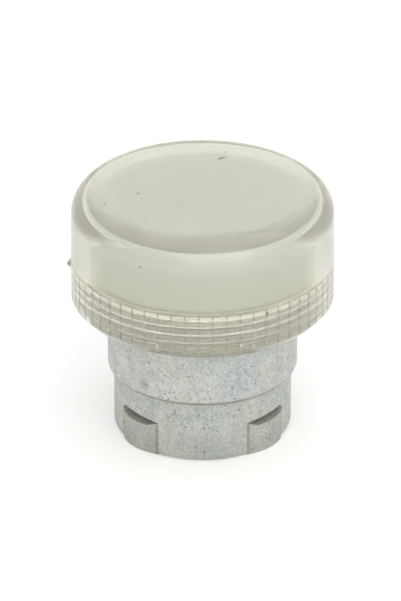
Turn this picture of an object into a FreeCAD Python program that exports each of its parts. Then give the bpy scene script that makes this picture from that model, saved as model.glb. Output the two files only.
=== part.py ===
import FreeCAD, Part
import math
import os

# Front head of a panel indicator lamp, in millimetres. +Z runs along the axis from the sleeve's rear
# end to the lens. The origin is the centre of the rear end face, on which the head stands.

# Sleeve: barrel, panel collar and threaded neck, cast in one piece with a bore right through
barrel_radius = 10.3
barrel_length = 7.7
barrel_wall = 2.3
barrel_end_round = 0.8
collar_radius = 11.0
collar_length = 8.9
collar_edge_round = 0.6
neck_shoulder = 1.85
neck_length = 3.7
bore_chamfer = 0.3

# Fixing notches, two in front and two behind, each a pad with a bowed face under a slot for a hook.
# The slot's upper edge rises away from the front, and the slot runs out to a tip towards the front.
notch_angle = 46.6
notch_width = 5.9
ledge_height = 4.37
ledge_rise = 0.38
slot_depth = 1.2
slot_height = 0.71
slot_tip_height = 0.12
slot_tip_length = 1.6
slot_end_round = 0.85
pad_face_radius = 6.0
pad_proud = 0.08
pad_shift = 0.3

# Panel gasket, a flat ring under the neck, kept on by a groove in the collar
gasket_thickness = 0.85
gasket_overhang = 0.45
gasket_fit = 0.1
groove_depth = 0.3
groove_margin = 0.15

# Lens seal, a flat ring on the neck's end face
seal_thickness = 0.7
seal_width = 1.5

# Opal diffuser cup, standing on the seal
diffuser_height = 6.4
diffuser_wall = 1.0
diffuser_edge_round = 1.3
diffuser_clearance = 0.15

# Clear lens cap, screwed over the neck
thread_clearance = 0.25
cap_wall = 2.1
cap_top_thickness = 2.11
cap_corner_round = 2.8
cap_crown_round = 4.9
cap_crown_tilt = 28.0
cap_cavity_round = 0.4
cap_draft = 0.1
cap_headroom = 0.7
skirt_lift = 0.15
skirt_chamfer_width = 0.93
skirt_chamfer_height = 1.05
skirt_entry_clearance = 0.3
skirt_entry_overlap = 0.4

# Straight V flutes around the skirt
flute_count = 60
flute_phase = -1.7
flute_height = 5.7
flute_depth = 0.2
flute_width = 0.34

# Heights and radii that follow from the sizes above
bore_radius = barrel_radius - barrel_wall
slot_back = barrel_radius - slot_depth
neck_radius = collar_radius + neck_shoulder
neck_bottom = barrel_length + collar_length
neck_top = neck_bottom + neck_length
gasket_bottom = neck_bottom - gasket_thickness
gasket_radius = neck_radius + gasket_overhang
groove_radius = collar_radius - groove_depth
groove_bottom = gasket_bottom - groove_margin
diffuser_rim = neck_top + seal_thickness
diffuser_top = diffuser_rim + diffuser_height
cap_bore_radius = neck_radius + thread_clearance
diffuser_radius = cap_bore_radius - diffuser_clearance
cap_radius = cap_bore_radius + cap_wall
cap_ceiling = diffuser_top + cap_headroom
cap_top = cap_ceiling + cap_top_thickness
skirt_bottom = gasket_bottom + skirt_lift
skirt_entry_radius = gasket_radius + skirt_entry_clearance
skirt_entry_top = neck_bottom + skirt_entry_overlap

# How far a cutting solid reaches past the faces that it cuts
past = 1.0

X_AXIS = FreeCAD.Vector(1, 0, 0)
Y_AXIS = FreeCAD.Vector(0, 1, 0)
Z_AXIS = FreeCAD.Vector(0, 0, 1)
CENTRE = FreeCAD.Vector(0, 0, 0)

# The front of the object looks towards -Y
FRONT_ANGLE = -90.0


def at(radius, height):
    """A point of a turned profile, in the XZ plane."""
    return FreeCAD.Vector(radius, 0, height)


def rounded(start, corner, end):
    """The quarter arc from start to end that rounds off a square corner."""
    centre = start + end - corner
    middle = centre + (corner - centre) * (1 / math.sqrt(2))
    return Part.Arc(start, middle, end).toShape()


def outline(*steps):
    """Closed outline through the steps in order: a point, or a ready-made arc edge."""
    edges = []
    first = None
    last = None
    for step in steps:
        is_arc = not isinstance(step, FreeCAD.Vector)
        start = step.firstVertex().Point if is_arc else step
        end = step.lastVertex().Point if is_arc else step
        if last is None:
            first = start
        elif not last.isEqual(start, 1e-7):
            edges.append(Part.LineSegment(last, start).toShape())
        if is_arc:
            edges.append(step)
        last = end
    edges.append(Part.LineSegment(last, first).toShape())
    return Part.Face(Part.Wire(edges))


def turned(*steps):
    """Solid of revolution about the axis of the outline through the steps."""
    return outline(*steps).revolve(CENTRE, Z_AXIS, 360)


def ring(inner_radius, outer_radius, bottom, thickness):
    """Flat ring about the axis."""
    base = at(0, bottom)
    outer = Part.makeCylinder(outer_radius, thickness, base)
    return outer.cut(Part.makeCylinder(inner_radius, thickness, base))


def around(solid, count, first_angle):
    """Copies of a solid, evenly spaced about the axis, as one compound."""
    copies = []
    for index in range(count):
        copy = solid.copy()
        copy.rotate(CENTRE, Z_AXIS, first_angle + index * 360.0 / count)
        copies.append(copy)
    return Part.makeCompound(copies)


def four_corners(solid):
    """A solid made on the +X side, turned to its notch at the front right, and its mirror images."""
    front_right = solid.copy()
    front_right.rotate(CENTRE, Z_AXIS, FRONT_ANGLE + notch_angle)
    right = [front_right, front_right.mirror(CENTRE, Y_AXIS)]
    left = [copy.mirror(CENTRE, X_AXIS) for copy in right]
    return right + left


def upright_prism(inner_distance, outer_distance, *steps):
    """Prism between two distances from the axis towards +X, over an outline in the upright plane."""
    face = outline(*steps)
    face.translate(FreeCAD.Vector(inner_distance, 0, 0))
    return face.extrude(FreeCAD.Vector(outer_distance - inner_distance, 0, 0))


def across(distance, height):
    """A point of an upright outline, at a distance across the notch from its middle."""
    return FreeCAD.Vector(0, distance, height)


def notch_cut():
    """Cutting solid of one notch: its width up to the ledge, as deep as the slot's back."""
    half = notch_width / 2
    outer_height = ledge_height + ledge_rise
    end = rounded(
        across(half, outer_height - slot_end_round),
        across(half, outer_height),
        across(half - slot_end_round, outer_height),
    )
    return upright_prism(
        slot_back,
        barrel_radius + past,
        across(-half, -past),
        across(half, -past),
        end,
        across(-half, ledge_height),
    )


def notch_pad():
    """Pad that fills one notch up to the slot, with an upright bowed face a little proud of the barrel.

    The face's crest lies off the notch's middle, away from the front.
    """
    half = notch_width / 2
    slot_bottom = ledge_height - slot_height
    block = upright_prism(
        (slot_back + bore_radius) / 2,
        barrel_radius + past,
        across(-half, 0),
        across(half, 0),
        across(half, slot_bottom),
        across(-half + slot_tip_length, slot_bottom),
        across(-half, ledge_height - slot_tip_height),
    )
    face_centre = FreeCAD.Vector(barrel_radius + pad_proud - pad_face_radius, pad_shift, 0)
    return block.common(Part.makeCylinder(pad_face_radius, ledge_height, face_centre))


def metal_sleeve():
    """Stepped tube: barrel with its notches, collar, gasket groove and neck outside, one bore inside."""
    edge_round = min(collar_edge_round, collar_radius - barrel_radius)
    barrel_end = rounded(
        at(barrel_radius - barrel_end_round, 0),
        at(barrel_radius, 0),
        at(barrel_radius, barrel_end_round),
    )
    collar_edge = rounded(
        at(collar_radius - edge_round, barrel_length),
        at(collar_radius, barrel_length),
        at(collar_radius, barrel_length + edge_round),
    )
    body = turned(
        at(bore_radius, bore_chamfer),
        at(bore_radius + bore_chamfer, 0),
        barrel_end,
        at(barrel_radius, barrel_length),
        collar_edge,
        at(collar_radius, groove_bottom),
        at(groove_radius, groove_bottom),
        at(groove_radius, neck_bottom),
        at(neck_radius, neck_bottom),
        at(neck_radius, neck_top),
        at(bore_radius + bore_chamfer, neck_top),
        at(bore_radius, neck_top - bore_chamfer),
    )
    notched = body.cut(Part.makeCompound(four_corners(notch_cut())))
    return notched.fuse(four_corners(notch_pad()))


def panel_gasket():
    """Flat ring against the underside of the neck, bevelled inside to slip over the collar."""
    inner_radius = groove_radius + gasket_fit
    face_radius = collar_radius + gasket_fit
    return turned(
        at(inner_radius, neck_bottom),
        at(inner_radius, gasket_bottom + groove_depth),
        at(face_radius, gasket_bottom),
        at(gasket_radius, gasket_bottom),
        at(gasket_radius, neck_bottom),
    )


def lens_seal():
    """Flat ring between the neck's end and the diffuser's rim."""
    return ring(neck_radius - seal_width, neck_radius, neck_top, seal_thickness)


def diffuser():
    """Thin cup, open downwards, with a rounded top edge."""
    inner_radius = diffuser_radius - diffuser_wall
    inner_top = diffuser_top - diffuser_wall
    inner_round = max(diffuser_edge_round - diffuser_wall, diffuser_wall / 10)
    outer_edge = rounded(
        at(diffuser_radius - diffuser_edge_round, diffuser_top),
        at(diffuser_radius, diffuser_top),
        at(diffuser_radius, diffuser_top - diffuser_edge_round),
    )
    inner_edge = rounded(
        at(inner_radius, inner_top - inner_round),
        at(inner_radius, inner_top),
        at(inner_radius - inner_round, inner_top),
    )
    return turned(
        at(0, diffuser_top),
        outer_edge,
        at(diffuser_radius, diffuser_rim),
        at(inner_radius, diffuser_rim),
        inner_edge,
        at(0, inner_top),
    )


def skirt_flute():
    """Cutting solid of one upright V groove on the +X side of the skirt."""
    half_width = flute_width / 2
    top = skirt_bottom + flute_height
    bottom = skirt_bottom - past
    root = FreeCAD.Vector(cap_radius - flute_depth, 0, bottom)
    mouth_slope = (flute_depth + past) / flute_depth
    left = FreeCAD.Vector(cap_radius + past, half_width * mouth_slope, bottom)
    right = FreeCAD.Vector(cap_radius + past, -half_width * mouth_slope, bottom)
    section = Part.Face(Part.makePolygon([root, right, left, root]))
    return section.extrude(FreeCAD.Vector(0, 0, top - bottom))


def arc(centre, radius, first_tilt, last_tilt):
    """Arc in a turned profile, between two angles counted from straight up towards the outside."""
    points = []
    for tilt in (first_tilt, (first_tilt + last_tilt) / 2, last_tilt):
        turn = math.radians(tilt)
        points.append(centre + at(radius * math.sin(turn), radius * math.cos(turn)))
    return Part.Arc(*points).toShape()


def lens_cap():
    """Cup with a flat top, a corner that tightens outwards, a drafted wall and a fluted skirt."""
    tilt = math.radians(cap_crown_tilt)
    step = cap_crown_round - cap_corner_round
    corner_centre = at(
        cap_radius - cap_draft - cap_corner_round,
        cap_top - cap_crown_round + step * math.cos(tilt),
    )
    crown_centre = corner_centre - at(step * math.sin(tilt), step * math.cos(tilt))
    cavity_corner = rounded(
        at(cap_bore_radius, cap_ceiling - cap_cavity_round),
        at(cap_bore_radius, cap_ceiling),
        at(cap_bore_radius - cap_cavity_round, cap_ceiling),
    )
    body = turned(
        at(0, cap_top),
        arc(crown_centre, cap_crown_round, 0, cap_crown_tilt),
        arc(corner_centre, cap_corner_round, cap_crown_tilt, 90),
        at(cap_radius, skirt_bottom + flute_height),
        at(cap_radius, skirt_bottom + skirt_chamfer_height),
        at(cap_radius - skirt_chamfer_width, skirt_bottom),
        at(skirt_entry_radius, skirt_bottom),
        at(skirt_entry_radius, skirt_entry_top),
        at(cap_bore_radius, skirt_entry_top),
        cavity_corner,
        at(0, cap_ceiling),
    )
    return body.cut(around(skirt_flute(), flute_count, FRONT_ANGLE + flute_phase))


PIECES = {
    "metal_sleeve": metal_sleeve,
    "panel_gasket": panel_gasket,
    "lens_seal": lens_seal,
    "diffuser": diffuser,
    "lens_cap": lens_cap,
}

os.makedirs("parts", exist_ok=True)
for name, make in PIECES.items():
    shape = make()
    shape.exportStep("parts/" + name + ".step")
    print(name, len(shape.Solids), "solid", round(shape.Volume, 1), "mm3", shape.isValid())
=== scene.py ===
"""Front head of a panel indicator lamp: the looks of its pieces and the studio around it.

Lengths are in millimetres up to the moment a mesh is made, and angles are in degrees counted
anticlockwise from +X as seen from above. The front of the object looks towards -Y. A profile is an
array of (radius, height) points. A grid has its rows along a profile and its columns around the axis.
"""

import logging
import math
from dataclasses import dataclass, field
from enum import Enum
from functools import partial
from typing import Any

import bpy
import numpy as np
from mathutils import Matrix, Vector


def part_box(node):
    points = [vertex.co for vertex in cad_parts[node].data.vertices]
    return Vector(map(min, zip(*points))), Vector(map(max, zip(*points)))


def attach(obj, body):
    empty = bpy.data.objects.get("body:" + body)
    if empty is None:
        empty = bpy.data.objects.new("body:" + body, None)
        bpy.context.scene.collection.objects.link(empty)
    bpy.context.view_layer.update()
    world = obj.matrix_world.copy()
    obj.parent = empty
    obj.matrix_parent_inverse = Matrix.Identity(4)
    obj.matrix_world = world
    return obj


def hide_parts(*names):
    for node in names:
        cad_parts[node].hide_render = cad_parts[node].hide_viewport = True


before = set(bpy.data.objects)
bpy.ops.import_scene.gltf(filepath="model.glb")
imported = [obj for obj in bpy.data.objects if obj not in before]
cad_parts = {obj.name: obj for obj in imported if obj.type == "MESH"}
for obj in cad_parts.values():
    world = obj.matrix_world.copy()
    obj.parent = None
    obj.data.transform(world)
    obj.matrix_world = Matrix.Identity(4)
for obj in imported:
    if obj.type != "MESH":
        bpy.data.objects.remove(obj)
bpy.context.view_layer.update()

Tree = bpy.types.NodeTree
Socket = bpy.types.NodeSocket
Point = tuple[float, float]
Pair = tuple[float, float]

MM = 0.001
CLOSE = 1e-6
PICTURE_WIDTH, PICTURE_HEIGHT = 401, 601
FRONT_ANGLE = -90.0
# Radius of the last ring around a pole
POLE_RING = 1.5
# Half the width of a softened edge, and the places of the points across it, in softnesses
EDGE_HALF = 0.75
EDGE_STEPS = np.array([-1.5, -0.75, -0.375, 0.0, 0.375, 0.75, 1.5])

LOG = logging.getLogger("lamp_head")


class Body(Enum):
    """The bodies that the pieces ride on."""

    SLEEVE = "sleeve"
    SEAL = "seal"
    LENS = "lens"


class Ends(Enum):
    """How a grid of rows is closed at its first and last row."""

    LOOP = "the last row joins the first"
    POLES = "each end row closes in a point on the axis"


# Numbers and shapes


def linear(colour: str) -> tuple[float, float, float, float]:
    """Turn an sRGB colour into the linear values that a shader takes.

    Args:
        colour: Six hex digits, red first.

    Returns:
        Linear red, green, blue and an alpha of 1.
    """
    coded = np.array([int(colour[i : i + 2], 16) for i in (0, 2, 4)]) / 255.0
    plain = np.where(coded <= 0.04045, coded / 12.92, ((coded + 0.055) / 1.055) ** 2.4)
    return (*plain.tolist(), 1.0)


def smooth_step(low: float | np.ndarray, high: float | np.ndarray, value: np.ndarray) -> np.ndarray:
    """Rise from 0 at low to 1 at high along 3t^2 - 2t^3, or fall where low is the larger.

    Args:
        low: Where the step is 0.
        high: Where the step is 1.
        value: Places to read the step at.

    Returns:
        The step's height at each place.
    """
    t = np.clip((value - low) / (high - low), 0.0, 1.0)
    return t * t * (3.0 - 2.0 * t)


def bell(value: np.ndarray, middle: float, width: float) -> np.ndarray:
    """Bell curve exp(-((value - middle) / width)^2), 1 at its middle."""
    return np.exp(-(((value - middle) / width) ** 2))


def straight(start: Point, end: Point, count: int) -> np.ndarray:
    """Straight run of count evenly spaced profile points, start and end included."""
    return np.linspace(start, end, count)


def quarter(start: Point, corner: Point, end: Point, count: int) -> np.ndarray:
    """Quarter ellipse that rounds a corner: start + end - corner is its centre.

    A point is centre + cos(t) (start - centre) + sin(t) (end - centre), t from 0 to a right angle.

    Args:
        start: Where the round begins.
        corner: The square corner that it takes the place of.
        end: Where the round ends.
        count: Number of points.

    Returns:
        Array of count points.
    """
    first, last = np.array(start), np.array(end)
    centre = first + last - np.array(corner)
    t = np.linspace(0.0, math.pi / 2, count)[:, None]
    return centre + np.cos(t) * (first - centre) + np.sin(t) * (last - centre)


def arc(centre: Point, radius: float, first_tilt: float, last_tilt: float, count: int) -> np.ndarray:
    """Arc of a profile: centre + radius (sin t, cos t), the tilt t counted from straight up outwards.

    Args:
        centre: Centre of the arc.
        radius: Its radius.
        first_tilt: Tilt of its first point in degrees.
        last_tilt: Tilt of its last point in degrees.
        count: Number of points.

    Returns:
        Array of count points.
    """
    t = np.radians(np.linspace(first_tilt, last_tilt, count))
    return np.array(centre) + radius * np.stack([np.sin(t), np.cos(t)], axis=-1)


def chain(*runs: np.ndarray) -> np.ndarray:
    """Join profile runs, dropping a point that repeats the one before it.

    Args:
        runs: Arrays of profile points, in order.

    Returns:
        One array of points.
    """
    points = np.concatenate(runs)
    steps = np.abs(np.diff(points, axis=0)).max(axis=1)
    return points[np.concatenate([[True], steps > CLOSE])]


def spin(radius: np.ndarray, height: np.ndarray, angle: np.ndarray) -> np.ndarray:
    """Points (r cos a, r sin a, z) of a surface about the axis.

    Args:
        radius: Radius of each row, or of each row and column.
        height: Height of each row, or of each row and column.
        angle: Angle of each column in degrees.

    Returns:
        Array of rows by columns by three, in millimetres.
    """
    turn = np.radians(angle)[None, :]
    shape = np.broadcast_shapes(radius.shape, height.shape, turn.shape)
    axes = (radius * np.cos(turn), radius * np.sin(turn), np.broadcast_to(height, shape))
    return np.stack(axes, axis=-1)


def even_angles(count: int) -> np.ndarray:
    """Angles of count columns spread evenly around the axis, in degrees."""
    return np.arange(count) * 360.0 / count


def turn_from(angle: np.ndarray, middle: float | np.ndarray) -> np.ndarray:
    """Shortest turn from a middle to each angle, between -180 and 180 degrees."""
    return (angle - middle + 180.0) % 360.0 - 180.0


def surface(name: str, points: np.ndarray, ends: Ends, sharp_angle: float) -> bpy.types.Object:
    """Closed smooth mesh over a grid whose columns run around the axis and join up.

    The rows go from the top over the outside down and up the inside again, so that each face's
    corners (row, row below, row below and next column, next column) turn outwards.

    Args:
        name: Name of the object and its mesh.
        points: Rows by columns by three, in millimetres.
        ends: How the first and last row are closed.
        sharp_angle: Faces that meet at more degrees than this keep a crisp edge.

    Returns:
        The new object, at the origin, linked to the scene.
    """
    if not np.isfinite(points).all():
        raise ValueError(f"{name} has points without a place")
    rows, columns = points.shape[:2]
    index = np.arange(rows * columns).reshape(rows, columns)
    vertices = points.reshape(-1, 3)
    faces: list[list[int]] = []
    if ends is Ends.LOOP:
        index = np.vstack([index, index[:1]])
    else:
        top, bottom = rows * columns, rows * columns + 1
        poles = np.array([[0.0, 0.0, points[0, 0, 2]], [0.0, 0.0, points[-1, 0, 2]]])
        vertices = np.vstack([vertices, poles])
        first, last = index[0], index[-1]
        faces += np.stack([np.full(columns, top), first, np.roll(first, -1)], axis=-1).tolist()
        faces += np.stack([last, np.full(columns, bottom), np.roll(last, -1)], axis=-1).tolist()
    beside = np.roll(index, -1, axis=1)
    quads = np.stack([index[:-1], index[1:], beside[1:], beside[:-1]], axis=-1)
    faces += quads.reshape(-1, 4).tolist()
    mesh = bpy.data.meshes.new(name)
    mesh.from_pydata((vertices * MM).tolist(), [], faces)
    mesh.shade_smooth()
    mesh.set_sharp_from_angle(angle=math.radians(sharp_angle))
    piece = bpy.data.objects.new(name, mesh)
    bpy.context.scene.collection.objects.link(piece)
    return piece


def write_mask(piece: bpy.types.Object, name: str, values: np.ndarray) -> None:
    """Store one number per grid point as a mesh attribute that a material can read.

    Args:
        piece: Object whose vertices are the grid's points in order, then its poles.
        name: Name of the attribute.
        values: Numbers of the grid's first rows. What lies past them gets 0.
    """
    full = np.zeros(len(piece.data.vertices), np.float32)
    full[: values.size] = values.ravel()
    mask = piece.data.attributes.new(name, "FLOAT", "POINT")
    mask.data.foreach_set("value", full)


@dataclass(frozen=True)
class Span:
    """Heights and outer radius of a piece at rest, in millimetres."""

    bottom: float
    top: float
    radius: float

    @classmethod
    def of(cls, node: str) -> "Span":
        """Read the span of a node of the frame."""
        low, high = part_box(node)
        return cls(low.z / MM, high.z / MM, (high.x - low.x) / (2 * MM))


# Finishes


def add_node(
    tree: Tree,
    kind: str,
    inputs: dict[str | int, Any] | None = None,
    output: str | int = 0,
    **settings: Any,
) -> Socket:
    """Add a node to a tree, set it up, link it and give one of its outputs.

    Args:
        tree: Node tree that takes the node.
        kind: Node type, such as ShaderNodeTexNoise.
        inputs: What goes into each input by name or number: a socket to link from, a hex colour or
            another value.
        output: Name or number of the output to give.
        settings: Properties of the node itself.

    Returns:
        The output, ready to be linked.
    """
    node = tree.nodes.new(kind)
    for key, value in settings.items():
        setattr(node, key, value)
    for key, value in (inputs or {}).items():
        if isinstance(value, Socket):
            tree.links.new(value, node.inputs[key])
        else:
            node.inputs[key].default_value = linear(value) if isinstance(value, str) else value
    return node.outputs[output]


def seen_rays(tree: Tree) -> Socket:
    """Share that is 1 for rays from the eye, from gloss and through glass, and 0 for the light's own.

    Args:
        tree: Node tree that takes the nodes.

    Returns:
        Socket with the share.
    """
    add = partial(add_node, tree)
    path = add("ShaderNodeLightPath").node.outputs
    eye_or_gloss = {0: path["Is Camera Ray"], 1: path["Is Glossy Ray"]}
    any_seen = {0: add("ShaderNodeMath", eye_or_gloss, operation="ADD"), 1: path["Is Transmission Ray"]}
    return add("ShaderNodeMath", any_seen, operation="ADD", use_clamp=True)


@dataclass(frozen=True)
class Mottle:
    """A noise pattern: the size of its largest features in millimetres, and its finer layers.

    The seed sets one pattern of a finish apart from another.
    """

    size: float
    detail: float
    roughness: float = 0.5
    seed: float = 0.0

    def inputs(self, place: Socket) -> dict[str, Any]:
        """Inputs of a noise that draws the pattern. Its scale is one feature in that size.

        Args:
            place: Socket with the coordinates.

        Returns:
            Input values by name.
        """
        scale = 1.0 / (self.size * MM)
        return {"Vector": place, "Scale": scale, "Detail": self.detail, "Roughness": self.roughness}


@dataclass(frozen=True)
class Finish:
    """A surface finish that becomes one procedural material."""

    name: str

    def make(self) -> bpy.types.Material:
        """Build the material.

        Returns:
            The material, ready to be put on a piece.
        """
        material = bpy.data.materials.new(self.name)
        material.use_nodes = True
        tree = material.node_tree
        tree.nodes.clear()
        output = tree.nodes.new("ShaderNodeOutputMaterial")
        for name, socket in self.wire(tree).items():
            tree.links.new(socket, output.inputs[name])
        return material

    def wire(self, tree: Tree) -> dict[str, Socket]:
        """Add the finish's nodes to an empty tree.

        Args:
            tree: The material's node tree.

        Returns:
            What goes into the material's output, by name.
        """
        raise NotImplementedError


@dataclass(frozen=True)
class CastZinc(Finish):
    """Zinc alloy, pressure die-cast and passivated, handled and a little corroded.

    The casting skin is a dull light grey with cool and warm clouds, a fine grain that scatters the
    light, dark pits and worn brighter edges. The grain and pits are drawn coarser than real ones, so
    that they show.
    """

    name: str = "passivated_die_cast_zinc"
    pale: str = "DCDFDA"
    grey: str = "C1C5C0"
    cool: str = "BFC8CC"
    warm: str = "D9D7C8"
    bright: str = "DEDBCA"
    pit: str = "62635B"
    # Dark colour of the mask that paints shade in the slots, on the pads, over the barrel and at the
    # collar, and real stains
    grime_and_shade: str = "7F7B67"
    # Dark colour of the painted shade and grease in the thread's roots
    grease_and_shade: str = "4E5357"
    grain: Mottle = Mottle(0.22, 3.0, 0.65, seed=1.0)
    clouds: Mottle = Mottle(1.9, 5.0, 0.65, seed=2.0)
    tints: Mottle = Mottle(4.2, 3.0, 0.65, seed=3.0)
    peaks: Mottle = Mottle(0.32, 2.0, 0.65, seed=5.0)
    patches: Mottle = Mottle(1.6, 2.0, 0.65, seed=7.0)
    drawn_out: tuple[float, float, float] = (1.0, 1.0, 0.9)
    tint_share: float = 0.35
    metallic: float = 0.35
    roughness: float = 0.46
    grain_roughness: Pair = (0.1, -0.06)

    def wire(self, tree: Tree) -> dict[str, Socket]:
        """Cloud, tint, grain and pit the base colour; masks add wear, stains, grease and painted shade.

        Args:
            tree: The material's node tree.

        Returns:
            The surface shader.
        """
        add = partial(add_node, tree)
        place = {0: add("ShaderNodeTexCoord", output="Object"), 1: self.drawn_out}
        drawn = add("ShaderNodeVectorMath", place, operation="MULTIPLY")
        mottles = (self.grain, self.clouds, self.tints, self.peaks, self.patches)
        grain, clouds, tints, peaks, patches = (
            add("ShaderNodeTexNoise", {"W": mottle.seed, **mottle.inputs(drawn)}, noise_dimensions="4D")
            for mottle in mottles
        )
        worn, grime_and_shade_share, grease_and_shade_share = (
            add("ShaderNodeAttribute", output="Fac", attribute_name=mask)
            for mask in ("worn", "grime_and_shade", "grease_and_shade")
        )
        cloudy = add("ShaderNodeMapRange", {"Value": clouds, "From Min": 0.36, "From Max": 0.64})
        cloud_ends = {"Factor": cloudy, "A": self.grey, "B": self.pale}
        colour = add("ShaderNodeMix", cloud_ends, "Result", data_type="RGBA")
        warmth = add("ShaderNodeMapRange", {"Value": tints, "From Min": 0.38, "From Max": 0.62})
        tint_ends = {"Factor": warmth, "A": self.cool, "B": self.warm}
        tint = add("ShaderNodeMix", tint_ends, "Result", data_type="RGBA")
        shades = {"Value": grain, "From Min": 0.28, "From Max": 0.62, "To Min": 0.68, "To Max": 1.05}
        steep = add("ShaderNodeMapRange", {"Value": peaks, "From Min": 0.57, "From Max": 0.68})
        crowds = {"Value": patches, "From Min": 0.42, "From Max": 0.6, "To Min": 0.2, "To Max": 0.95}
        crowded = {0: steep, 1: add("ShaderNodeMapRange", crowds)}
        pits = add("ShaderNodeMath", crowded, operation="MULTIPLY")
        layers = (
            # A thin play of cool and warm over the light and dark clouds of the passivation
            (self.tint_share, tint, "MIX"),
            # Worn places, where handling or a cutter has left the bare metal, warm and bright
            (worn, self.bright, "MIX"),
            # Fine grain of the casting skin, which darkens and lightens it
            (1.0, add("ShaderNodeMapRange", shades), "MULTIPLY"),
            # Pits: the peaks of a fine noise, where a wide one lets them gather
            (pits, self.pit, "MIX"),
            # Painted shade in the slots, on the pads, over the barrel and under the collar's edge, with
            # real old stains
            (grime_and_shade_share, self.grime_and_shade, "MIX"),
            # Painted shade in the thread's roots, where little light gets in, with old grease: dark and
            # cool
            (grease_and_shade_share, self.grease_and_shade, "MIX"),
        )
        for share, over, blend in layers:
            inputs = {"Factor": share, "A": colour, "B": over}
            colour = add("ShaderNodeMix", inputs, "Result", data_type="RGBA", blend_type=blend)
        low, high = (self.roughness + change for change in self.grain_roughness)
        polish = {"Value": grain, "From Min": 0.3, "From Max": 0.7, "To Min": low, "To Max": high}
        rough = add("ShaderNodeMapRange", polish)
        dents = add("ShaderNodeMath", {0: grain, 1: pits}, operation="SUBTRACT")
        bump = add("ShaderNodeBump", {"Height": dents, "Strength": 0.35, "Distance": 0.05 * MM})
        inputs = {"Base Color": colour, "Roughness": rough, "Normal": bump, "Metallic": self.metallic}
        return {"Surface": add("ShaderNodeBsdfPrincipled", inputs)}


@dataclass(frozen=True)
class ClearPolycarbonate(Finish):
    """Polycarbonate, injection-moulded clear, dulled by handling.

    It bends light strongly and holds it inside its walls. Fine scratches make its face hazy and leave
    the skirt clearer, long paths inside it go warm, and a few specks of dirt stick to it. A speck is
    given by its middle and its radius. The same dark colour paints shade into the flutes' upper ends.
    """

    name: str = "clear_moulded_polycarbonate"
    milk: str = "F8FBF5"
    skirt_milk: str = "F7F9F3"
    # Dark colour of the dirt specks and of the painted shade in the flutes' upper ends
    dirt_and_shade: str = "57544A"
    clarity: float = 0.84
    refraction: float = 1.585
    roughness: float = 0.15
    skirt_roughness: float = 0.05
    skirt_edge: Pair = (21.8, 21.5)
    haze: Mottle = Mottle(3.5, 3.0, 0.6)
    haze_shares: Pair = (0.8, 1.3)
    density: float = 105.0
    absorbed: str = "F8EFDA"
    speck_core: float = 0.5
    specks: tuple[tuple[float, float, float, float], ...] = (
        (1.95, 7.45, 30.2, 0.26),
        (2.25, 7.7, 30.2, 0.26),
        (2.55, 7.9, 30.2, 0.18),
        (-7.37, -1.4, 30.2, 0.2),
        (-11.1, -3.9, 30.15, 0.2),
        (2.74, 9.2, 30.2, 0.16),
        (12.7, -2.5, 29.87, 0.15),
        (13.1, -2.75, 29.8, 0.15),
        (-7.0, -13.4, 27.0, 0.17),
        (7.28, -13.34, 21.06, 0.28),
    )

    def speck_and_shade_share(self, tree: Tree, place: Socket) -> Socket:
        """Dark share: 1 in each dirt speck's middle, elsewhere the piece's mask of painted shade.

        Args:
            tree: The material's node tree.
            place: Socket with the Object coordinates.

        Returns:
            Socket with the share.
        """
        add = partial(add_node, tree)
        total = add("ShaderNodeAttribute", output="Fac", attribute_name="dirt_and_shade")
        for *middle, radius in self.specks:
            ends = {0: place, 1: tuple(MM * axis for axis in middle)}
            way = add("ShaderNodeVectorMath", ends, "Value", operation="DISTANCE")
            edge = {"Value": way, "From Min": radius * MM, "From Max": self.speck_core * radius * MM}
            spot = add("ShaderNodeMapRange", edge)
            total = add("ShaderNodeMath", {0: spot, 1: total}, operation="MAXIMUM")
        return total

    def wire(self, tree: Tree) -> dict[str, Socket]:
        """Clear refracting body with a hazy face, a clearer skirt and a warm absorption inside.

        Args:
            tree: The material's node tree.

        Returns:
            The surface and the volume shader.
        """
        add = partial(add_node, tree)
        place = add("ShaderNodeTexCoord", output="Object")
        height = add("ShaderNodeSeparateXYZ", {0: place}, "Z")
        top, bottom = (edge * MM for edge in self.skirt_edge)
        skirt = add("ShaderNodeMapRange", {"Value": height, "From Min": top, "From Max": bottom})
        # Fine scratches haze the face. The skirt under it is touched less and stays smoother
        haze = add("ShaderNodeTexNoise", self.haze.inputs(place))
        low, high = (self.roughness * share for share in self.haze_shares)
        dulling = {"Value": haze, "From Min": 0.35, "From Max": 0.7, "To Min": low, "To Max": high}
        hazy = add("ShaderNodeMapRange", dulling)
        rough_ends = {"Factor": skirt, "A": hazy, "B": self.skirt_roughness}
        rough = add("ShaderNodeMix", rough_ends, "Result", data_type="FLOAT")
        bump = add("ShaderNodeBump", {"Height": haze, "Strength": 0.04, "Distance": 0.05 * MM})
        milk_ends = {"Factor": skirt, "A": self.milk, "B": self.skirt_milk}
        milk = add("ShaderNodeMix", milk_ends, "Result", data_type="RGBA")
        # Dark colour of the dirt specks, and painted shade in the flutes' upper ends
        speck_and_shade_ends = {"Factor": self.speck_and_shade_share(tree, place), "A": milk, "B": self.dirt_and_shade}
        colour = add("ShaderNodeMix", speck_and_shade_ends, "Result", data_type="RGBA")
        inputs = {
            "Base Color": colour,
            "Roughness": rough,
            "Normal": bump,
            "IOR": self.refraction,
            "Transmission Weight": self.clarity,
        }
        inside = add("ShaderNodeVolumeAbsorption", {"Color": self.absorbed, "Density": self.density})
        return {"Surface": add("ShaderNodeBsdfPrincipled", inputs), "Volume": inside}


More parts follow.
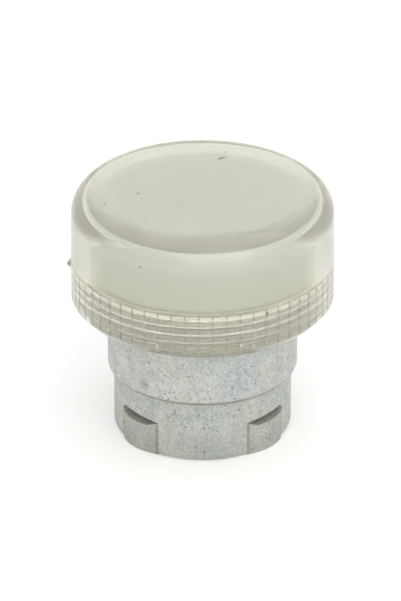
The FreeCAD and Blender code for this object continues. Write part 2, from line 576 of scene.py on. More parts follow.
@dataclass(frozen=True)
class OpalPlastic(Finish):
    """Polycarbonate filled with white pigment, moulded thin; light soaks into it and comes back soft."""

    name: str = "opal_moulded_polycarbonate"
    body: str = "F9FDFA"
    aged: str = "FAFBEE"
    cloud: Mottle = Mottle(6.0, 2.0)
    cloud_share: float = 0.5
    aged_from: float = 26.0
    aged_to: float = 21.0
    roughness: float = 0.42
    refraction: float = 1.58
    soak: float = 0.35
    soak_depth: float = 0.8
    soak_colour: tuple[float, float, float] = (1.0, 0.9, 0.7)

    def wire(self, tree: Tree) -> dict[str, Socket]:
        """Milky body, faintly clouded, that yellows towards its rim.

        Args:
            tree: The material's node tree.

        Returns:
            The surface shader.
        """
        add = partial(add_node, tree)
        place = add("ShaderNodeTexCoord", output="Object")
        height = add("ShaderNodeSeparateXYZ", {0: place}, "Z")
        cloud = add("ShaderNodeTexNoise", self.cloud.inputs(place))
        fall = {"Value": height, "From Min": self.aged_from * MM, "From Max": self.aged_to * MM}
        age = add("ShaderNodeMapRange", fall)
        # The noise wanders about 0.5, which is taken off, so that the clouds shift the share both ways
        wander = add("ShaderNodeMath", {0: cloud, 1: -0.5}, operation="ADD")
        clouded = {0: wander, 1: self.cloud_share, 2: age}
        share = add("ShaderNodeMath", clouded, operation="MULTIPLY_ADD", use_clamp=True)
        ends = {"Factor": share, "A": self.body, "B": self.aged}
        inputs = {
            "Base Color": add("ShaderNodeMix", ends, "Result", data_type="RGBA"),
            "Roughness": self.roughness,
            "IOR": self.refraction,
            "Subsurface Weight": self.soak,
            "Subsurface Radius": self.soak_colour,
            "Subsurface Scale": self.soak_depth * MM,
        }
        return {"Surface": add("ShaderNodeBsdfPrincipled", inputs)}


@dataclass(frozen=True)
class Elastomer(Finish):
    """Moulded rubber or silicone: matt, with a soft bloom that clouds its colour."""

    name: str
    colour: str
    bloom: str
    roughness: float
    cloud: Mottle = Mottle(1.4, 3.0)

    def wire(self, tree: Tree) -> dict[str, Socket]:
        """Cloudy matt colour with a fine moulded texture.

        Args:
            tree: The material's node tree.

        Returns:
            The surface shader.
        """
        add = partial(add_node, tree)
        cloud = add("ShaderNodeTexNoise", self.cloud.inputs(add("ShaderNodeTexCoord", output="Object")))
        share = add("ShaderNodeMapRange", {"Value": cloud, "From Min": 0.35, "From Max": 0.65})
        ends = {"Factor": share, "A": self.colour, "B": self.bloom}
        colour = add("ShaderNodeMix", ends, "Result", data_type="RGBA")
        bump = add("ShaderNodeBump", {"Height": cloud, "Strength": 0.2, "Distance": 0.05 * MM})
        inputs = {"Base Color": colour, "Normal": bump, "Roughness": self.roughness}
        return {"Surface": add("ShaderNodeBsdfPrincipled", inputs)}


@dataclass(frozen=True)
class StudioFloor(Finish):
    """Matt white board that shows white to the eye, to metal and through glass, and takes the shadow."""

    name: str = "matt_white_board"
    colour: str = "F4F4F3"
    lift_colour: str = "FFFFFF"
    lift: float = 0.3

    def wire(self, tree: Tree) -> dict[str, Socket]:
        """Diffuse board; seen rays get a little light of its own on top, so that the shadow stays.

        Args:
            tree: The material's node tree.

        Returns:
            The surface shader.
        """
        add = partial(add_node, tree)
        board = add("ShaderNodeBsdfDiffuse", {"Color": self.colour})
        strength = add("ShaderNodeMath", {0: seen_rays(tree), 1: self.lift}, operation="MULTIPLY")
        glow = add("ShaderNodeEmission", {"Color": self.lift_colour, "Strength": strength})
        return {"Surface": add("ShaderNodeAddShader", {0: board, 1: glow})}


# Pieces


@dataclass(frozen=True)
class HeadPiece:
    """A piece of the lamp head: the node it stands for, the body it rides on, its slot and its finish."""

    node: str
    body: Body
    slot: str
    finish: Finish

    def shape(self) -> bpy.types.Object:
        """Make the mesh. Each class of piece has its own.

        Returns:
            The new piece.
        """
        raise NotImplementedError

    def dress(self, piece: bpy.types.Object) -> None:
        """Put a piece in the node's place, on its body, with its finish, and report it.

        Args:
            piece: The new piece.
        """
        piece.data.materials.append(self.finish.make())
        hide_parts(self.node)
        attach(piece, self.body.value)
        LOG.info("%s: %d faces, %s", piece.name, len(piece.data.polygons), self.finish.name)

    def build(self) -> None:
        """Make the piece and dress it."""
        self.dress(self.shape())


@dataclass(frozen=True)
class ScrewThread:
    """The fine right-hand thread between the sleeve's neck and the lens cap.

    Its methods take column angles and row heights that are shaped to broadcast, and give one number
    for each row and column.
    """

    pitch: float = 1.0
    start: float = 17.0
    neck_ridge: float = 0.24
    neck_bottom: float = 16.75
    neck_top: float = 19.9
    cap_groove: float = 0.3
    cap_bottom: float = 17.05
    cap_top: float = 20.25
    fade: float = 0.3
    # Depth of the painted shade and grease film between the thread's turns
    grease_and_shade_beside: float = 0.3

    def wave(self, angle: np.ndarray, height: np.ndarray) -> np.ndarray:
        """Round helix: a cosine wave to the third power, 1 on the crest and 0 between the turns.

        The phase (z - start) / pitch - a / 360 is whole on the crest, whatever the turn.

        Args:
            angle: Column angles in degrees.
            height: Row heights.

        Returns:
            The wave.
        """
        phase = (height - self.start) / self.pitch - angle / 360.0
        return (0.5 + 0.5 * np.cos(2.0 * math.pi * phase)) ** 3

    def between(self, bottom: float, top: float, height: np.ndarray) -> np.ndarray:
        """Share that is 1 between two heights and fades out at both.

        Args:
            bottom: Height where the share starts to rise.
            top: Height where it is back at 0.
            height: Row heights.

        Returns:
            The share.
        """
        rise = smooth_step(bottom, bottom + self.fade, height)
        return rise * smooth_step(top, top - self.fade, height)

    def ridge(self, angle: np.ndarray, height: np.ndarray) -> np.ndarray:
        """Height of the neck's ridge: the wave, faded out at both ends of the neck."""
        ends = self.between(self.neck_bottom, self.neck_top, height)
        return self.neck_ridge * ends * self.wave(angle, height)

    def groove(self, angle: np.ndarray, height: np.ndarray) -> np.ndarray:
        """Depth of the cap's groove: the same wave, which runs out beside the seal."""
        ends = self.between(self.cap_bottom, self.cap_top, height)
        return self.cap_groove * ends * self.wave(angle, height)

    def grease_and_shade(self, angle: np.ndarray, height: np.ndarray) -> np.ndarray:
        """Painted shade and grease in the neck's thread: a thick line half a pitch from the crest, a thin
        film beside it.

        Args:
            angle: Column angles in degrees.
            height: Row heights.

        Returns:
            Grease and painted shade from 0 to 1.
        """
        line = self.wave(angle, height - self.pitch / 2)
        film = self.grease_and_shade_beside * (1.0 - self.wave(angle, height)) ** 2
        return self.between(self.neck_bottom, self.neck_top, height) * np.maximum(line, film)


@dataclass(frozen=True)
class Sleeve(HeadPiece):
    """Die-cast sleeve: barrel with four notches, panel collar, and the threaded neck in the lens cap.

    Wear, and grime with painted shade, are depths of colour from 0 to 1. An upright line of painted
    shade on a pad, near its inner side where its face steps down, is given by its way from the pad's
    inner side, its width and its depth, and a real stain by its angle, height, radius and depth. A
    band of wear starts, is full, begins to fade and ends at four ways from a notch's side.
    collar_edge_reach and land_wear_rise are heights over the collar's edge and the ledge: none above
    the first, full below the second.
    """

    node: str = "metal_sleeve"
    body: Body = Body.SLEEVE
    slot: str = "die_cast_zinc"
    finish: Finish = CastZinc()
    span: Span = field(default_factory=lambda: Span.of("metal_sleeve"))
    gasket: Span = field(default_factory=lambda: Span.of("panel_gasket"))
    thread: ScrewThread = ScrewThread()
    barrel_radius: float = 10.3
    barrel_length: float = 7.7
    barrel_end_round: float = 0.8
    collar_radius: float = 11.0
    collar_edge_round: float = 0.6
    groove_depth: float = 0.3
    groove_margin: float = 0.15
    groove_lip_round: float = 0.12
    bore_radius: float = 8.0
    bore_chamfer: float = 0.3
    neck_edge: float = 0.25
    face_margin: float = 0.3
    notch_angle: float = 46.6
    notch_width: float = 5.9
    ledge_height: float = 4.37
    ledge_rise: float = 0.38
    slot_back: float = 9.1
    slot_height: float = 0.71
    slot_tip_height: float = 0.12
    slot_tip_length: float = 1.6
    slot_end_round: float = 0.85
    pad_face_radius: float = 6.0
    pad_crest: float = 10.38
    pad_shift: float = 0.3
    pad_edge_round: float = 0.1
    edge_softness: float = 0.08
    least_softness: float = 0.15
    soft_slot_height: float = 0.5
    thread_rows: int = 58
    shelf_rows: int = 9
    slot_rows: int = 5
    pad_rows: int = 12
    end_rows: int = 9
    pad_columns: int = 19
    land_columns: int = 25
    # Depths of painted shade: the slot's back, the whole barrel, its lower end, just under the collar and
    # the collar's lower edge
    slot_shade: float = 0.45
    overall_barrel_shade: float = 0.1
    low_shade: float = 0.14
    low_shade_top: float = 5.5
    under_collar_shade: float = 0.6
    under_collar_reach: float = 0.22
    collar_edge_shade: float = 0.9
    collar_edge_reach: Pair = (0.6, 0.1)
    # Upright lines of painted shade on the pads, where the face steps down from the land
    pad_lines: tuple[tuple[float, float, float], ...] = ((0.295, 0.12, 0.7), (0.885, 0.1, 0.3))
    stain_spots: tuple[tuple[float, float, float, float], ...] = (
        (-127.0, 9.3, 0.55, 0.55),
        (-39.0, 6.1, 0.28, 0.5),
        (-56.5, 5.6, 0.25, 0.45),
        (-126.8, 6.0, 0.3, 0.35),
    )
    land_wear: float = 0.6
    land_wear_band: tuple[float, float, float, float] = (-0.05, 0.15, 0.2, 1.3)
    land_wear_rise: Pair = (1.0, -1.6)
    neck_wear: float = 0.9
    neck_wear_reach: float = 0.2

    def notch_middles(self) -> np.ndarray:
        """Angles of the four notches in order, two in front and their mirror images behind."""
        right = FRONT_ANGLE + self.notch_angle
        return np.array([right, -right, 180.0 + right, 180.0 - right])

    def columns(self) -> np.ndarray:
        """Column angles, close together at the notches' side edges.

        Returns:
            Angles in degrees, in order around the axis.
        """
        half = self.notch_width / 2
        near = self.edge_softness * EDGE_STEPS
        pad = np.linspace(-half, half, self.pad_columns + 2)[1:-1]
        local = np.degrees(np.arcsin(np.concatenate([near - half, pad, near + half]) / self.barrel_radius))
        middles = self.notch_middles()
        starts = middles + local[-1]
        ends = np.append(middles[1:], middles[0] + 360.0) + local[0]
        lands = np.linspace(starts, ends, self.land_columns + 2, axis=1)[:, 1:-1]
        return np.hstack([middles[:, None] + local, lands]).ravel()

    def notch_place(self, angle: np.ndarray) -> tuple[np.ndarray, np.ndarray]:
        """Each column's place in its nearest notch, counted away from the front or the back.

        Args:
            angle: Column angles in degrees.

        Returns:
            The angle from the notch's middle in radians, and the distance across it.
        """
        away = turn_from(angle[:, None], self.notch_middles())
        nearest = np.abs(away).argmin(axis=1)
        outward = np.array([1.0, -1.0, 1.0, -1.0])[nearest]
        offset = np.radians(away[np.arange(len(angle)), nearest] * outward)
        return offset, self.barrel_radius * np.sin(offset)

    def slot_edges(self, across: np.ndarray) -> tuple[np.ndarray, np.ndarray]:
        """Heights of the slot's upper and lower edge across a notch.

        The upper edge rises evenly outwards and ends in a quarter round. The lower edge is level and
        climbs evenly towards the upper one over the tip.

        Args:
            across: Distances from the notch's middle.

        Returns:
            The upper and the lower height at each distance.
        """
        half, tip, end = self.notch_width / 2, self.slot_tip_length, self.slot_end_round
        inside = np.clip(across, -half, half)
        past_round = np.maximum(inside - (half - end), 0.0)
        upper = self.ledge_height + self.ledge_rise * (inside + half) / (2 * half)
        upper = upper - end + np.sqrt(np.maximum(end**2 - past_round**2, 0.0))
        climb = np.clip((tip - half - inside) / tip, 0.0, 1.0) * (self.slot_height - self.slot_tip_height)
        return upper, self.ledge_height - self.slot_height + climb

    def pad_radius(self, offset: np.ndarray, height: np.ndarray) -> np.ndarray:
        """Radius of a pad's bowed face: where a ray from the axis meets the face's own upright cylinder.

        With the cylinder's axis at c along the notch's middle and s across it, the radius at the angle
        a is c cos a + s sin a + sqrt(R^2 - (c sin a - s cos a)^2). The lower edge is rounded off.

        Args:
            offset: Angles from the notch's middle in radians.
            height: Height of each row and column.

        Returns:
            Radius of each row and column.
        """
        along, across = self.pad_crest - self.pad_face_radius, self.pad_shift
        middle = along * np.cos(offset) + across * np.sin(offset)
        beside = along * np.sin(offset) - across * np.cos(offset)
        face = middle + np.sqrt(self.pad_face_radius**2 - beside**2)
        under = np.clip(1.0 - height / self.pad_edge_round, 0.0, 1.0)
        return face[None, :] - self.pad_edge_round * (1.0 - np.sqrt(1.0 - under**2))

    def barrel_rows(
        self, upper: np.ndarray, lower: np.ndarray, soft: np.ndarray
    ) -> tuple[np.ndarray, np.ndarray]:
        """Rows of the barrel's wall, which follow the slots' edges and then round off the rear end.

        Args:
            upper: Height of the slot's upper edge at each column.
            lower: Height of the slot's lower edge at each column.
            soft: Softness of both edges at each column.

        Returns:
            Height of each row and column, and the radius of each row where there is no notch.
        """
        near = -EDGE_STEPS[:, None] * soft
        shelf_step = np.linspace(0.0, 1.0, self.shelf_rows + 1)[:-1, None]
        back_step = np.linspace(0.0, 1.0, self.slot_rows + 2)[1:-1, None]
        pad_step = np.linspace(0.0, 1.0, self.pad_rows + 2)[1:-1, None]
        shelf = self.barrel_length * (1 - shelf_step) + (upper + near[0]) * shelf_step
        back = (upper + near[-1]) * (1 - back_step) + (lower + near[0]) * back_step
        pad = (lower + near[-1]) * (1 - pad_step) + self.barrel_end_round * pad_step
        turn = np.linspace(0.0, math.pi / 2, self.end_rows)[:, None]
        end = self.barrel_end_round * (1 - np.sin(turn)) + 0.0 * upper
        height = np.vstack([shelf, upper + near, back, lower + near, pad, end])
        wall = np.full((len(height) - len(turn), 1), self.barrel_radius)
        return height, np.vstack([wall, self.barrel_radius - self.barrel_end_round * (1 - np.cos(turn))])

    def barrel(self, angle: np.ndarray) -> tuple[np.ndarray, np.ndarray, np.ndarray]:
        """The barrel's wall with its notches, from under the collar down to the rear end.

        The radius is the plain profile outside a notch, the pad's face in it, and the flat back of the
        slot between the slot's two edges. Each step is a soft ramp, as on a casting, and crisper where
        the slot is low. The painted shade is the deepest of the darkening on the slot's back, in the pad's
        upright lines, over the whole barrel, twice as deep on the pads, towards the rear end and under
        the collar.

        Args:
            angle: Column angles in degrees.

        Returns:
            Radius, height and painted shade of each row and column.
        """
        offset, across = self.notch_place(angle)
        upper, lower = (edge[None, :] for edge in self.slot_edges(across))
        share = np.clip((upper - lower) / self.soft_slot_height, self.least_softness, 1.0)
        soft = self.edge_softness * share
        height, plain = self.barrel_rows(upper, lower, soft)
        half, side = self.notch_width / 2, EDGE_HALF * self.edge_softness
        wide = smooth_step(half + side, half - side, np.abs(across))[None, :]
        low = smooth_step(upper + EDGE_HALF * soft, upper - EDGE_HALF * soft, height)
        over = smooth_step(lower - EDGE_HALF * soft, lower + EDGE_HALF * soft, height)
        notch = wide * low
        slot = self.slot_back / np.cos(offset)[None, :]
        inside = self.pad_radius(offset, height) * (1 - over) + slot * over
        radius = plain * (1 - notch) + inside * notch
        # Painted shade in upright lines on each pad, near its inner side
        lines = sum(depth * bell(across + half, way, width) for way, width, depth in self.pad_lines)
        low_down = smooth_step(self.low_shade_top, 0.0, height)
        under_collar = smooth_step(self.barrel_length - self.under_collar_reach, self.barrel_length, height)
        layers = (
            # Painted shade on the back of each slot, a recess that the light hardly reaches
            self.slot_shade * notch * over,
            lines[None, :] * low,
            # Painted shade: the barrel darker than the collar, twice as dark on the pads, and darker
            # towards its rear end
            self.overall_barrel_shade * (1.0 + notch) + self.low_shade * low_down,
            # Painted shade in a band just under the collar's step
            self.under_collar_shade * under_collar,
        )
        return radius, height, np.maximum.reduce(layers)

    def upper(self, angle: np.ndarray) -> tuple[np.ndarray, np.ndarray]:
        """Neck with its thread, gasket groove and collar, from the neck's end down to the collar's edge.

        Args:
            angle: Column angles in degrees.

        Returns:
            Radius and height of each row and column.
        """
        neck, neck_top = self.span.radius, self.span.top - self.neck_edge
        seat, groove = self.gasket.top, self.collar_radius - self.groove_depth
        lip, lip_round = self.gasket.bottom - self.groove_margin, self.groove_lip_round
        collar, end, edge = self.collar_radius, self.barrel_length, self.collar_edge_round
        profile = chain(
            straight((neck - self.neck_edge, self.span.top), (neck, neck_top), 3),
            straight((neck, neck_top), (neck, seat), self.thread_rows),
            straight((neck, seat), (groove, seat), 5),
            straight((groove, seat), (groove, lip), 4),
            quarter((collar - lip_round, lip), (collar, lip), (collar, lip - lip_round), 4),
            straight((collar, lip - lip_round), (collar, end + edge), 14),
            quarter((collar, end + edge), (collar, end), (collar - edge, end), 7),
        )
        radius, height = profile[:, :1], profile[:, 1:]
        on_neck = (radius > neck - CLOSE) & (height > seat + CLOSE)
        ridge = self.thread.ridge(angle[None, :], height)
        return radius + on_neck * ridge, height + 0.0 * ridge

    def bore(self) -> np.ndarray:
        """Profile of the bore, from the rear end face up to the neck's end face.

        Returns:
            Array of profile points.
        """
        top, bore, chamfer = self.span.top, self.bore_radius, self.bore_chamfer
        rear_face = self.barrel_radius - self.barrel_end_round - self.face_margin
        neck_face = self.span.radius - self.neck_edge - self.face_margin
        return chain(
            straight((rear_face, 0.0), (bore + chamfer, 0.0), 3),
            straight((bore + chamfer, 0.0), (bore, chamfer), 2),
            straight((bore, chamfer), (bore, top - chamfer), 12),
            straight((bore, top - chamfer), (bore + chamfer, top), 2),
            straight((bore + chamfer, top), (neck_face, top), 5),
        )

    def wear(self, angle: np.ndarray, height: np.ndarray) -> np.ndarray:
        """Rubbed places: upright bands on the lands beside the notches, and the neck with its thread.

        Args:
            angle: Column angles in degrees.
            height: Height of each row and column.

        Returns:
            Wear from 0 to 1 at each row and column.
        """
        beyond = np.abs(self.notch_place(angle)[1])[None, :] - self.notch_width / 2
        start, full, fading, end = self.land_wear_band
        band = smooth_step(start, full, beyond) * smooth_step(end, fading, beyond)
        none_above, full_below = (self.ledge_height + rise for rise in self.land_wear_rise)
        below_ledge = smooth_step(none_above, full_below, height)
        neck = smooth_step(self.gasket.top, self.gasket.top + self.neck_wear_reach, height)
        return np.maximum(self.land_wear * band * below_ledge, self.neck_wear * neck)

    def stains(self, angle: np.ndarray, height: np.ndarray) -> np.ndarray:
        """Old stains: soft round spots, each a bell curve of the distance from its middle.

        Args:
            angle: Column angles in degrees.
            height: Height of each row and column.

        Returns:
            Stain from 0 to 1 at each row and column.
        """
        total = np.zeros_like(height)
        for middle, spot_height, radius, depth in self.stain_spots:
            across = np.radians(turn_from(angle, middle))[None, :] * self.collar_radius
            total = np.maximum(total, depth * bell(np.hypot(across, height - spot_height), 0.0, radius))
        return total

    def shape(self) -> bpy.types.Object:
        """Close the upper part, barrel and bore into one casting with its wear, stains and painted shade.

        Returns:
            The sleeve.
        """
        angle = self.columns()
        upper_radius, upper_height = self.upper(angle)
        barrel_radius, barrel_height, barrel_shade = self.barrel(angle)
        bore = self.bore()
        spread = np.zeros((1, len(angle)))
        radius = np.vstack([upper_radius, barrel_radius, bore[:, :1] + spread])
        height = np.vstack([upper_height, barrel_height, bore[:, 1:] + spread])
        outside = height[: len(height) - len(bore)]
        # Painted shade on the collar's lower rounded edge, which faces down over the barrel
        none_above, full_below = (self.barrel_length + reach for reach in self.collar_edge_reach)
        edge_line = smooth_step(none_above, full_below, upper_height)
        bore_grime = np.zeros((len(bore), len(angle)))
        grime_and_shade = np.vstack([self.collar_edge_shade * edge_line, barrel_shade, bore_grime])
        piece = surface("sleeve_casting", spin(radius, height, angle), Ends.LOOP, sharp_angle=50.0)
        # The mask paints shade from the collar's edge down the barrel, with real old stains on top
        write_mask(piece, "grime_and_shade", np.maximum(grime_and_shade, self.stains(angle, height)))
        write_mask(piece, "worn", self.wear(angle, outside))
        # The mask paints shade with grease into the neck's thread roots
        write_mask(piece, "grease_and_shade", self.thread.grease_and_shade(angle[None, :], upper_height))
        return piece


@dataclass(frozen=True)
class LensCap(HeadPiece):
    """Clear screw-on cap: flat top, large rounded corner, fluted skirt, and a threaded cavity below.

    flute_columns holds angles past a lip and from the root. flute_shade_reach and gate_break are ways
    down: none from the first on, full up from the second.
    """

    node: str = "lens_cap"
    body: Body = Body.LENS
    slot: str = "clear_plastic"
    finish: Finish = ClearPolycarbonate()
    span: Span = field(default_factory=lambda: Span.of("lens_cap"))
    thread: ScrewThread = ScrewThread()
    draft: float = 0.1
    corner_round: float = 2.8
    crown_round: float = 4.9
    crown_tilt: float = 28.0
    top_thickness: float = 2.11
    cavity_radius: float = 13.1
    cavity_corner: float = 0.4
    entry_radius: float = 13.6
    entry_edge: float = 0.1
    entry_top: float = 17.0
    entry_step: float = 0.05
    thread_zone_top: float = 20.25
    thread_rows: int = 54
    relief_depth: float = 0.5
    relief_height: float = 0.85
    relief_roof: float = 0.15
    chamfer_width: float = 0.93
    chamfer_height: float = 1.05
    flute_count: int = 60
    flute_phase: float = -1.7
    flute_top: float = 21.6
    flute_end: float = 0.01
    flute_depth: float = 0.12
    flute_width: float = 0.23
    flute_columns: Pair = (0.2, 1.9)
    # Depth and reach of the painted shade in the flutes' upper ends
    flute_shade_depth: float = 0.95
    flute_shade_reach: Pair = (1.0, 0.4)
    gate_angle: float = 180.0
    gate_height: float = 20.5
    gate_proud: float = 0.4
    gate_width: float = 0.34
    gate_swell: float = 0.9
    gate_break: Pair = (0.55, 0.1)

    def columns(self) -> np.ndarray:
        """Column angles, eight to a flute: its root, its lips, two on each side and one midway to the next.

        Returns:
            Angles in degrees, in order around the axis.
        """
        lip = math.degrees(self.flute_width / 2 / self.span.radius)
        past_lip, far = self.flute_columns
        near, midway = lip + past_lip, 180.0 / self.flute_count
        cell = np.array([-far, -near, -lip, 0.0, lip, near, far, midway])
        flute = FRONT_ANGLE + self.flute_phase + even_angles(self.flute_count)
        return (flute[:, None] + cell).ravel()

    def outside(self) -> np.ndarray:
        """Profile from near the top's middle over the corner and down to the skirt's lower edge.

        Returns:
            Array of profile points.
        """
        top, bottom, wide = self.span.top, self.span.bottom, self.span.radius
        narrow, foot = wide - self.draft, wide - self.chamfer_width
        chamfer = bottom + self.chamfer_height
        tilt = math.radians(self.crown_tilt)
        step = self.crown_round - self.corner_round
        crown = (narrow - self.corner_round - step * math.sin(tilt), top - self.crown_round)
        corner = (narrow - self.corner_round, crown[1] + step * math.cos(tilt))
        return chain(
            straight((POLE_RING, top), (crown[0], top), 8),
            arc(crown, self.crown_round, 0.0, self.crown_tilt, 12),
            arc(corner, self.corner_round, self.crown_tilt, 90.0, 18),
            straight((narrow, corner[1]), (wide, self.flute_top + self.flute_end), 22),
            straight((wide, self.flute_top - self.flute_end), (wide, chamfer), 24),
            straight((wide, chamfer), (foot, bottom), 7),
            straight((foot, bottom), (self.entry_radius, bottom), 3),
        )

    def inside(self) -> np.ndarray:
        """Profile from the skirt's entry up the thread and the cavity to near the ceiling's middle.

        Returns:
            Array of profile points.
        """
        ceiling, bore, corner = self.span.top - self.top_thickness, self.cavity_radius, self.cavity_corner
        entry, mouth = self.entry_radius, self.span.bottom + self.entry_edge
        step_low, step_high = self.entry_top - self.entry_step, self.entry_top + self.entry_step
        thread_top, relief = self.thread_zone_top, bore + self.relief_depth
        relief_top = thread_top + self.relief_height
        roof = relief_top - self.relief_roof
        return chain(
            straight((entry, mouth), (entry, step_low), 5),
            straight((entry, step_low), (bore, step_high), 3),
            straight((bore, step_high), (bore, thread_top), self.thread_rows),
            straight((bore, thread_top), (relief, roof), 6),
            straight((relief, roof), (bore, relief_top), 4),
            straight((bore, relief_top), (bore, ceiling - corner), 8),
            quarter((bore, ceiling - corner), (bore, ceiling), (bore - corner, ceiling), 12),
            straight((bore - corner, ceiling), (POLE_RING, ceiling), 7),
        )

    def from_flute(self, angle: np.ndarray) -> np.ndarray:
        """Way around the skirt from each column to the root of the nearest flute.

        Args:
            angle: Column angles in degrees.

        Returns:
            Way of each column.
        """
        pitch = 360.0 / self.flute_count
        turns = (angle - FRONT_ANGLE - self.flute_phase) / pitch
        return np.radians(np.abs(turns - np.round(turns)) * pitch) * self.span.radius

    def flute(self, angle: np.ndarray, radius: np.ndarray, height: np.ndarray) -> np.ndarray:
        """Cut the V flutes: below their top the radius is at most root + slope times the way from a flute.

        Args:
            angle: Column angles in degrees.
            radius: Radius of each row and column before the cut.
            height: Height of each row.

        Returns:
            Radius of each row and column after the cut.
        """
        slope = self.flute_depth / (self.flute_width / 2)
        valley = self.span.radius - self.flute_depth + slope * self.from_flute(angle)
        return np.where(height < self.flute_top, np.minimum(radius, valley[None, :]), radius)

    def flute_shade(self, angle: np.ndarray, height: np.ndarray) -> np.ndarray:
        """Painted shade in the flutes' upper ends: full at the root, none at the lips, fading downwards.

        Args:
            angle: Column angles in degrees.
            height: Height of each row.

        Returns:
            Painted shade from 0 to 1 at each row and column.
        """
        root = np.clip(1.0 - self.from_flute(angle) / (self.flute_width / 2), 0.0, 1.0)[None, :]
        none_below, full_above = (self.flute_top - reach for reach in self.flute_shade_reach)
        upper_end = smooth_step(none_below, full_above, height) * (height < self.flute_top)
        return self.flute_shade_depth * root * upper_end

    def gate(self, angle: np.ndarray, height: np.ndarray) -> np.ndarray:
        """Torn gate: a small lump that swells slowly from above and breaks off sharply below.

        Args:
            angle: Column angles in degrees.
            height: Height of each row.

        Returns:
            How far each row and column stands proud.
        """
        across = np.radians(turn_from(angle, self.gate_angle))[None, :] * self.span.radius
        rise = smooth_step(self.gate_height + self.gate_swell, self.gate_height, height)
        none_below, full_above = (self.gate_height - reach for reach in self.gate_break)
        fall = smooth_step(none_below, full_above, height)
        return self.gate_proud * rise * fall * bell(across, 0.0, self.gate_width)

    def shape(self) -> bpy.types.Object:
        """Close the outside and the inside into one moulding.

        Returns:
            The cap.
        """
        angle = self.columns()
        outside, inside = self.outside(), self.inside()
        outer = self.flute(angle, outside[:, :1] + 0.0 * angle, outside[:, 1:])
        outer = outer + self.gate(angle, outside[:, 1:])
        in_thread = (inside[:, 1:] > self.entry_top) & (inside[:, 1:] < self.thread_zone_top)
        inner = inside[:, :1] + in_thread * self.thread.groove(angle[None, :], inside[:, 1:])
        radius = np.vstack([outer, inner])
        height = np.vstack([outside[:, 1:], inside[:, 1:]])
        piece = surface("lens_cap_moulding", spin(radius, height, angle), Ends.POLES, sharp_angle=32.0)
        # The mask holds painted shade in the flutes' upper ends
        write_mask(piece, "dirt_and_shade", self.flute_shade(angle, outside[:, 1:]))
        return piece


@dataclass(frozen=True)
class Diffuser(HeadPiece):
    """Opal cup inside the cap, open below."""

    node: str = "diffuser"
    body: Body = Body.LENS
    slot: str = "opal_plastic"
    finish: Finish = OpalPlastic()
    span: Span = field(default_factory=lambda: Span.of("diffuser"))
    wall: float = 1.0
    edge_round: float = 1.3
    rim_round: float = 0.2
    rim_bevel: float = 0.55
    column_count: int = 144

    def shape(self) -> bpy.types.Object:
        """Spin the cup's wall: out over the top, round the edge, down, round the rim and back up inside.

        Returns:
            The diffuser.
        """
        outer, inner = self.span.radius, self.span.radius - self.wall
        top, rim, edge = self.span.top, self.span.bottom, self.edge_round
        lip, bevel = self.rim_round, self.rim_bevel
        hollow, inner_round = top - self.wall, self.edge_round - self.wall
        profile = chain(
            straight((POLE_RING, top), (outer - edge, top), 7),
            quarter((outer - edge, top), (outer, top), (outer, top - edge), 14),
            straight((outer, top - edge), (outer, rim + bevel), 12),
            straight((outer, rim + bevel), (outer - bevel, rim), 3),
            quarter((inner + lip, rim), (inner, rim), (inner, rim + lip), 5),
            straight((inner, rim + lip), (inner, hollow - inner_round), 10),
            quarter((inner, hollow - inner_round), (inner, hollow), (inner - inner_round, hollow), 6),
            straight((inner - inner_round, hollow), (POLE_RING, hollow), 7),
        )
        points = spin(profile[:, :1], profile[:, 1:], even_angles(self.column_count))
        return surface("diffuser_cup", points, Ends.POLES, sharp_angle=45.0)


@dataclass(frozen=True)
class SoftRing(HeadPiece):
    """Flat moulded ring with rounded corners, such as a seal or a gasket."""

    width: float
    corner: float
    inner_bevel: float = 0.0
    column_count: int = 120

    def shape(self) -> bpy.types.Object:
        """Spin the ring's section: out over the top, down, in along the face and up the inside.

        Returns:
            The ring.
        """
        span = Span.of(self.node)
        outer, inner = span.radius, span.radius - self.width
        top, bottom, corner = span.top, span.bottom, self.corner
        bevel = max(self.inner_bevel, corner)
        profile = chain(
            straight((inner + corner, top), (outer - corner, top), 4),
            quarter((outer - corner, top), (outer, top), (outer, top - corner), 5),
            quarter((outer, bottom + corner), (outer, bottom), (outer - corner, bottom), 5),
            straight((outer - corner, bottom), (inner + bevel, bottom), 4),
            straight((inner + bevel, bottom), (inner, bottom + bevel), 3),
            quarter((inner, top - corner), (inner, top), (inner + corner, top), 5),
        )[:-1]
        points = spin(profile[:, :1], profile[:, 1:], even_angles(self.column_count))
        return surface(f"{self.node}_ring", points, Ends.LOOP, sharp_angle=40.0)


# Studio


@dataclass(frozen=True)
class Softbox:
    """Square area lamp that looks at the object. Its place and size are in metres."""

    name: str
    place: tuple[float, float, float]
    size: float
    brightness: float

    def build(self, aim: Vector) -> None:
        """Hang the lamp. Its power is brightness times pi times its area.

        Args:
            aim: Point that it looks at, in metres.
        """
        lamp = bpy.data.lights.new(self.name, "AREA")
        lamp.shape = "SQUARE"
        lamp.size = self.size
        lamp.energy = self.brightness * math.pi * self.size**2
        holder = bpy.data.objects.new(self.name, lamp)
        holder.location = self.place
        holder.rotation_euler = (aim - Vector(self.place)).to_track_quat("-Z", "Y").to_euler()
        holder.visible_camera = False
        bpy.context.scene.collection.objects.link(holder)


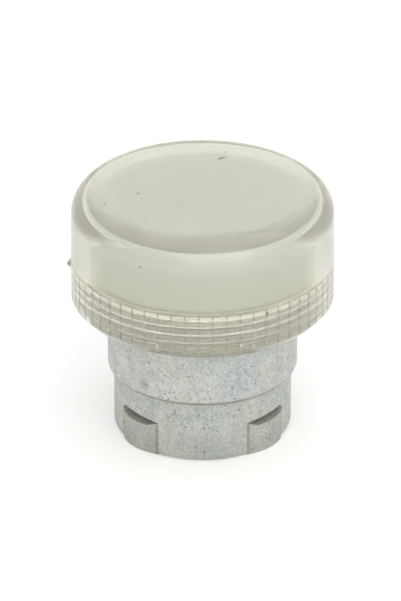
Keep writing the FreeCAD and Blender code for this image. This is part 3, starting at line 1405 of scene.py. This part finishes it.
@dataclass(frozen=True)
class Studio:
    """White board, even white surroundings, soft lamps, and the camera at the photograph's angle."""

    floor_finish: StudioFloor = StudioFloor()
    floor_radius: float = 3000.0
    floor_first_ring: float = 5.0
    floor_rings: int = 24
    floor_columns: int = 96
    floor_gap: float = 0.01
    floor_thickness: float = 1.0
    sky_colour: str = "FFFFFF"
    surround: float = 0.59
    lamps: tuple[Softbox, ...] = (
        Softbox("overhead_softbox", place=(0.05, 0.1, 0.7), size=0.7, brightness=0.75),
        Softbox("front_softbox", place=(0.15, -0.64, 0.58), size=0.9, brightness=1.06),
    )
    aim_height: float = 15.0
    elevation: float = 27.99
    distance: float = 600.0
    sensor_width: float = 36.0
    pixels_per_mm: float = 8.649
    axis_column: float = 202.6
    aim_row: float = 305.38
    light_bounces: int = 32

    def floor(self) -> None:
        """Lay the board under the object: rings of points at growing radius, then its thin edge."""
        radius = np.geomspace(self.floor_first_ring, self.floor_radius, self.floor_rings)[:, None]
        points = spin(radius, np.full_like(radius, -self.floor_gap), even_angles(self.floor_columns))
        below = points[[-1, 0]] - np.array([0.0, 0.0, self.floor_thickness])
        board = surface("floor_board", np.concatenate([points, below]), Ends.POLES, sharp_angle=30.0)
        board.data.materials.append(self.floor_finish.make())

    def surroundings(self) -> None:
        """Make the white world, which lights evenly and shows plain white to seen rays."""
        world = bpy.data.worlds.new("white_surroundings")
        world.use_nodes = True
        tree = world.node_tree
        tree.nodes.clear()
        levels = {"Value": seen_rays(tree), "To Min": self.surround, "To Max": 1.0}
        strength = add_node(tree, "ShaderNodeMapRange", levels)
        sky = add_node(tree, "ShaderNodeBackground", {"Color": self.sky_colour, "Strength": strength})
        output = tree.nodes.new("ShaderNodeOutputWorld")
        tree.links.new(sky, output.inputs["Surface"])
        bpy.context.scene.world = world

    def camera(self) -> None:
        """Stand the camera where the photograph's was, with the object as large and in the same place."""
        tilt = math.radians(self.elevation)
        up = Vector((0.0, math.sin(tilt), math.cos(tilt)))
        right_shift = (PICTURE_WIDTH / 2 - self.axis_column) / self.pixels_per_mm
        up_shift = (self.aim_row - PICTURE_HEIGHT / 2) / self.pixels_per_mm
        aim = Vector((right_shift, 0.0, self.aim_height)) + up_shift * up
        place = aim + self.distance * Vector((0.0, -math.cos(tilt), math.sin(tilt)))
        data = bpy.data.cameras.new("photo_camera")
        data.sensor_width = self.sensor_width
        data.lens = self.sensor_width * self.pixels_per_mm * self.distance / PICTURE_HEIGHT
        holder = bpy.data.objects.new("photo_camera", data)
        holder.location = place * MM
        holder.rotation_euler = (aim - place).to_track_quat("-Z", "Y").to_euler()
        bpy.context.scene.collection.objects.link(holder)
        bpy.context.scene.camera = holder

    def build(self) -> None:
        """Set up floor, light, camera and the plain view; light must cross the clear walls many times."""
        scene = bpy.context.scene
        self.floor()
        self.surroundings()
        for lamp in self.lamps:
            lamp.build(Vector((0.0, 0.0, self.aim_height * MM)))
        self.camera()
        scene.view_settings.view_transform = "Standard"
        scene.cycles.max_bounces = self.light_bounces
        scene.cycles.transmission_bounces = self.light_bounces
        scene.cycles.glossy_bounces = self.light_bounces


def main() -> None:
    """Build the sleeve, its rings, the diffuser and the cap, then the studio."""
    logging.basicConfig(level=logging.INFO, format="%(name)s: %(message)s")
    gasket = SoftRing(
        node="panel_gasket",
        body=Body.SLEEVE,
        slot="gasket_elastomer",
        finish=Elastomer("beige_gasket_rubber", colour="CFC7AC", bloom="C2B998", roughness=0.6),
        width=2.5,
        corner=0.12,
        inner_bevel=0.3,
    )
    seal = SoftRing(
        node="lens_seal",
        body=Body.SEAL,
        slot="seal_silicone",
        # The seal's colour is whiter than its real tan: partly a painted highlight for the gloss along its
        # front
        finish=Elastomer("cream_silicone", colour="FFFBEE", bloom="F8F2E0", roughness=0.3),
        width=1.5,
        corner=0.15,
    )
    for piece in (Sleeve(), gasket, seal, Diffuser(), LensCap()):
        piece.build()
    Studio().build()


if __name__ == "__main__":
    main()
